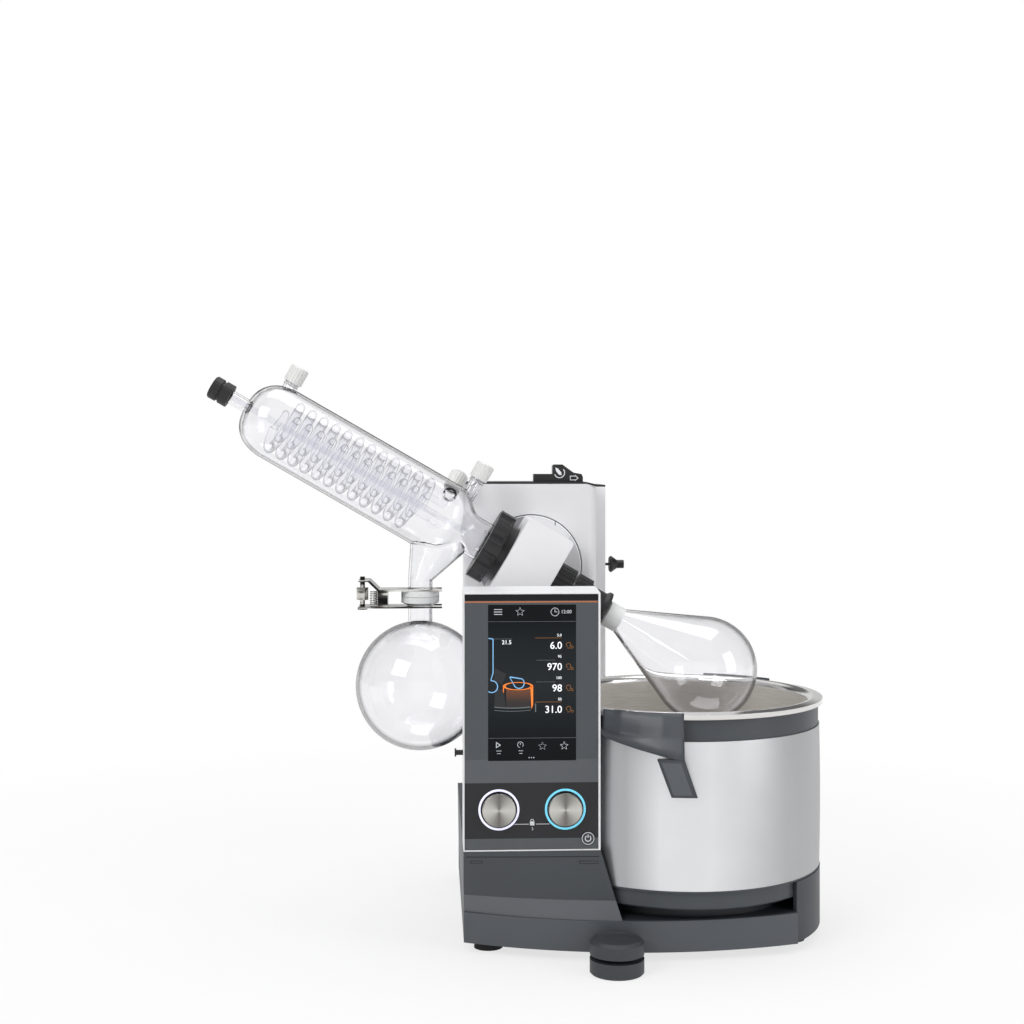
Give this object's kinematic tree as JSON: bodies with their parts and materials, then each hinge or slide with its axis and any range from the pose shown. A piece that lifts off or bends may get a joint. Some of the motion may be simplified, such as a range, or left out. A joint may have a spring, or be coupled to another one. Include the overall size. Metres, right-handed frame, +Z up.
{
  "type": "rotary evaporator",
  "caption": "Bench rotary evaporator: heated bath, console, lift column, tilting drive head, coil condenser, evaporating flask and receiving flask.",
  "frame": {"origin": "centre of the outer box on the floor, under the feet", "axes": "+Z up, +X to the viewer's right toward the bath, +Y away from the front"},
  "size_m": [0.6243, 0.3881, 0.5718],
  "materials": {
    "pot_steel": "satin",
    "dark_plastic": "satin",
    "silver_lacquer": "satin",
    "base_dark": "satin",
    "white_plastic": "satin",
    "black_plastic": "satin",
    "front_grey": "gloss",
    "light_guide": "gloss",
    "dial_metal": "satin",
    "machine_steel": "satin",
    "cast_aluminium": "matte",
    "board": "matte",
    "rubber": "matte",
    "glass": "gloss"
  },
  "bodies": {
    "stand": {"base_housing": "base_dark", "base_front_cover": "base_dark", "base_bottom_plate": "machine_steel", "rubber_feet": "rubber", "foot_outrigger": "machine_steel", "tower_foot_cover": "base_dark", "mains_inlet": "black_plastic", "console_housing": "white_plastic", "front_plate": "front_grey", "display_screen": "front_grey", "light_rings": "light_guide", "control_board": "board", "hose_clip": "black_plastic", "column_cover": "white_plastic", "column_cap": "black_plastic", "guide_rods": "machine_steel", "lift_actuator": "cast_aluminium"},
    "bath": {"bath_pot": "pot_steel", "bath_band": "dark_plastic", "bath_shell": "silver_lacquer", "bath_bottom_ring": "dark_plastic", "heating_element": "machine_steel", "bath_handles": "dark_plastic"},
    "leveller": {"levelling_foot": "dark_plastic"},
    "left_dial": {"left_dial": "dial_metal"},
    "right_dial": {"right_dial": "dial_metal"},
    "power_button": {"power_button": "light_guide"},
    "stop_knob": {"stop_knob": "black_plastic"},
    "head": {"actuator_rod": "machine_steel", "lift_carriage": "cast_aluminium", "head_housing": "white_plastic", "head_lid": "black_plastic", "head_frame": "machine_steel"},
    "slider": {"tilt_slider": "black_plastic"},
    "drive": {"tilt_disc": "white_plastic", "drive_housing": "white_plastic", "hub_bearings": "machine_steel", "drive_motor": "cast_aluminium", "drive_belt": "rubber", "condenser_collar": "black_plastic", "vapour_seal": "rubber", "condenser_jacket": "glass", "cooling_coil": "glass", "feed_tube": "glass", "receiving_flask": "glass", "clamp_forks": "machine_steel", "clamp_screw": "machine_steel"},
    "motor_pulley": {"motor_pulley": "machine_steel"},
    "rotor": {"drive_hub": "machine_steel", "vapour_duct": "glass", "flask_clip": "black_plastic", "evaporating_flask": "glass"},
    "hub_nut": {"hub_nut": "black_plastic"},
    "clip_ring": {"clip_ring": "black_plastic"},
    "union_nut": {"union_nut": "black_plastic"},
    "feed_cap": {"feed_cap": "black_plastic"},
    "vent_cap": {"vent_cap": "white_plastic"},
    "vacuum_cap": {"vacuum_cap": "white_plastic"},
    "rear_cap": {"rear_cap": "white_plastic"},
    "clamp_nut": {"clamp_nut": "machine_steel"}
  },
  "joints": [
    {"name": "head_lift", "type": "slide", "parent": "stand", "child": "head", "axis": [0, 0, 1], "range_m": [-0.055, 0.1]},
    {"name": "head_tilt", "type": "hinge", "parent": "head", "child": "drive", "pos_m": [0.0187, -0.01, 0.3643], "axis": [0, 1, 0], "range_deg": [-5, 30]},
    {"name": "slider_travel", "type": "slide", "parent": "head", "child": "slider", "axis": [1, 0, 0], "range_m": [0, 0.008]},
    {"name": "flask_spin", "type": "hinge", "parent": "drive", "child": "rotor", "pos_m": [0.01745, -0.01, 0.36213], "axis": [0.866, 0, -0.5], "continuous": true},
    {"name": "motor_spin", "type": "hinge", "parent": "drive", "child": "motor_pulley", "pos_m": [0.0307, 0.0165, 0.38509], "axis": [0.866, 0, -0.5], "continuous": true},
    {"name": "hub_nut_turn", "type": "hinge", "parent": "rotor", "child": "hub_nut", "pos_m": [0.0443, -0.01, 0.34664], "axis": [0.866, 0, -0.5], "range_deg": [0, 90]},
    {"name": "clip_turn", "type": "hinge", "parent": "rotor", "child": "clip_ring", "pos_m": [0.06248, -0.01, 0.33614], "axis": [0.866, 0, -0.5], "range_deg": [0, 90]},
    {"name": "union_nut_turn", "type": "hinge", "parent": "drive", "child": "union_nut", "pos_m": [-0.02412, -0.01, 0.38614], "axis": [0.866, 0, -0.5], "range_deg": [0, 90]},
    {"name": "feed_cap_turn", "type": "hinge", "parent": "drive", "child": "feed_cap", "pos_m": [-0.29432, -0.01, 0.54214], "axis": [0.866, 0, -0.5], "range_deg": [0, 360]},
    {"name": "vent_cap_turn", "type": "hinge", "parent": "drive", "child": "vent_cap", "pos_m": [-0.22255, -0.01, 0.55844], "axis": [0.5, 0, 0.866], "range_deg": [0, 360]},
    {"name": "vacuum_cap_turn", "type": "hinge", "parent": "drive", "child": "vacuum_cap", "pos_m": [-0.03439, -0.01, 0.46135], "axis": [0.5, 0, 0.866], "range_deg": [0, 360]},
    {"name": "rear_cap_turn", "type": "hinge", "parent": "drive", "child": "rear_cap", "pos_m": [-0.05942, 0.01614, 0.453], "axis": [0.4193, 0.5446, 0.7263], "range_deg": [0, 360]},
    {"name": "clamp_nut_turn", "type": "hinge", "parent": "drive", "child": "clamp_nut", "pos_m": [-0.155, -0.01, 0.338], "axis": [0, 0, 1], "range_deg": [0, 360]},
    {"name": "left_dial_turn", "type": "hinge", "parent": "stand", "child": "left_dial", "pos_m": [-0.0215, -0.128, 0.1437], "axis": [0, 1, 0], "continuous": true},
    {"name": "right_dial_turn", "type": "hinge", "parent": "stand", "child": "right_dial", "pos_m": [0.0415, -0.128, 0.1437], "axis": [0, 1, 0], "continuous": true},
    {"name": "power_press", "type": "slide", "parent": "stand", "child": "power_button", "axis": [0, 1, 0], "range_m": [0, 0.0015], "stiffness_N_per_m": 600},
    {"name": "stop_knob_turn", "type": "hinge", "parent": "stand", "child": "stop_knob", "pos_m": [0.107, 0.15764, 0.3572], "axis": [1, 0, 0], "range_deg": [0, 90]},
    {"name": "levelling_turn", "type": "hinge", "parent": "stand", "child": "leveller", "pos_m": [0.0863, -0.1653, 0], "axis": [0, 0, 1], "range_deg": [-360, 360]},
    {"name": "bath_lift_off", "type": "slide", "parent": "stand", "child": "bath", "axis": [0, 0, 1], "range_m": [0, 0.06]}
  ],
  "couplings": [
    {"joint": "motor_spin", "follows": "flask_spin", "ratio": 2.8}
  ]
}
